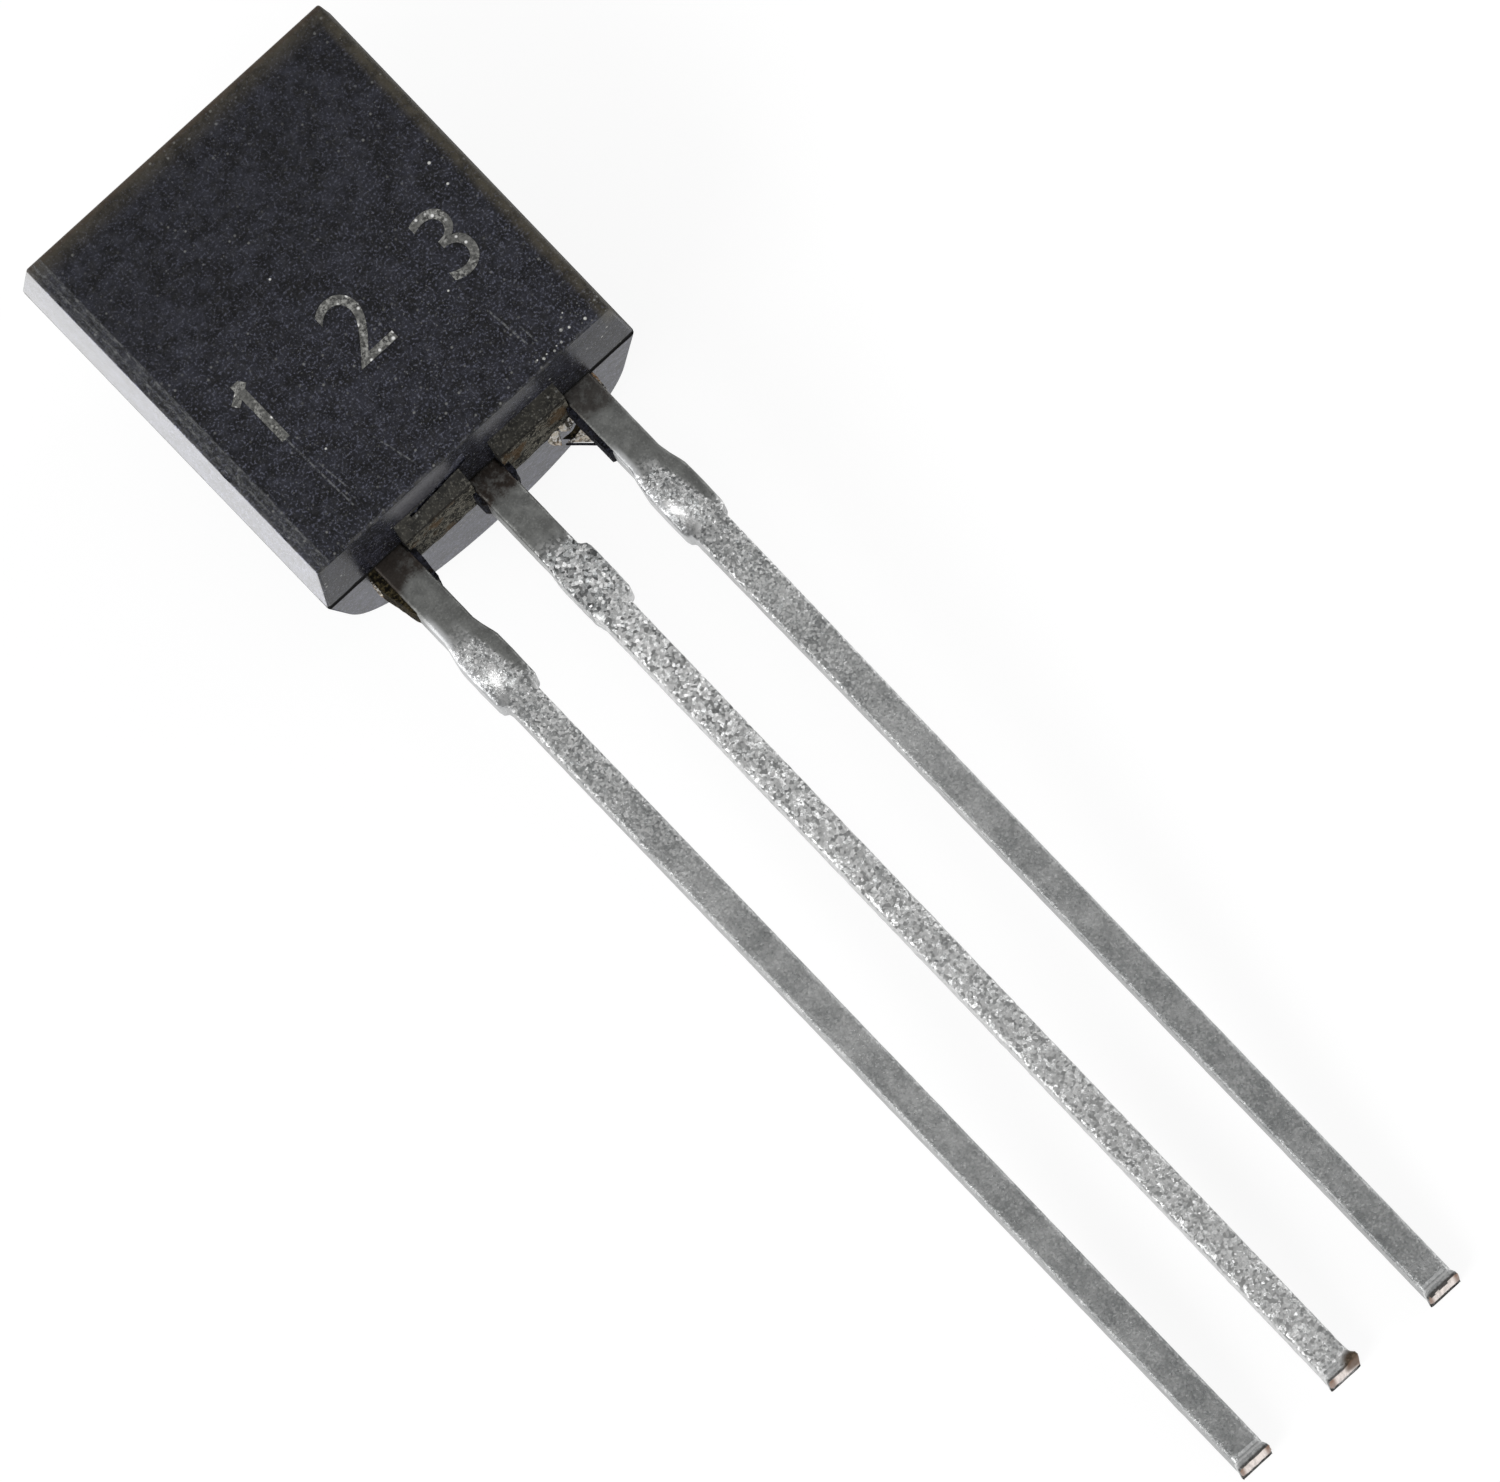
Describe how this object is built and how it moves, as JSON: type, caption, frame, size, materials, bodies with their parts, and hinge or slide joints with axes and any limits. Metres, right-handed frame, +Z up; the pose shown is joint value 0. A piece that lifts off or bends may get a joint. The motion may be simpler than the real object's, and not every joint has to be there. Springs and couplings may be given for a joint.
{
  "type": "to-92 transistor",
  "caption": "Through-hole transistor: dark moulded body with a flat front and a rounded back, and a row of straight flat tinned leads.",
  "frame": {"origin": "on the ground, under the middle of the bounding box, with the part lying flat side up", "axes": "+Y from the lead tips towards the body, +Z up and within 10 degrees of the flat's normal, +X from the first lead to the third"},
  "size_m": [0.0042, 0.0176, 0.0039],
  "materials": {
    "moulding": "satin",
    "tinned_outer_lead": "satin",
    "tinned_middle_lead": "satin",
    "silicon": "gloss",
    "silver_solder": "matte",
    "gold_wire": "polished"
  },
  "bodies": {
    "root": {"body": "moulding", "collector_lead": "tinned_outer_lead", "base_lead": "tinned_middle_lead", "emitter_lead": "tinned_outer_lead", "die": "silicon", "die_bond": "silver_solder", "base_wire": "gold_wire", "emitter_wire": "gold_wire"}
  },
  "joints": []
}
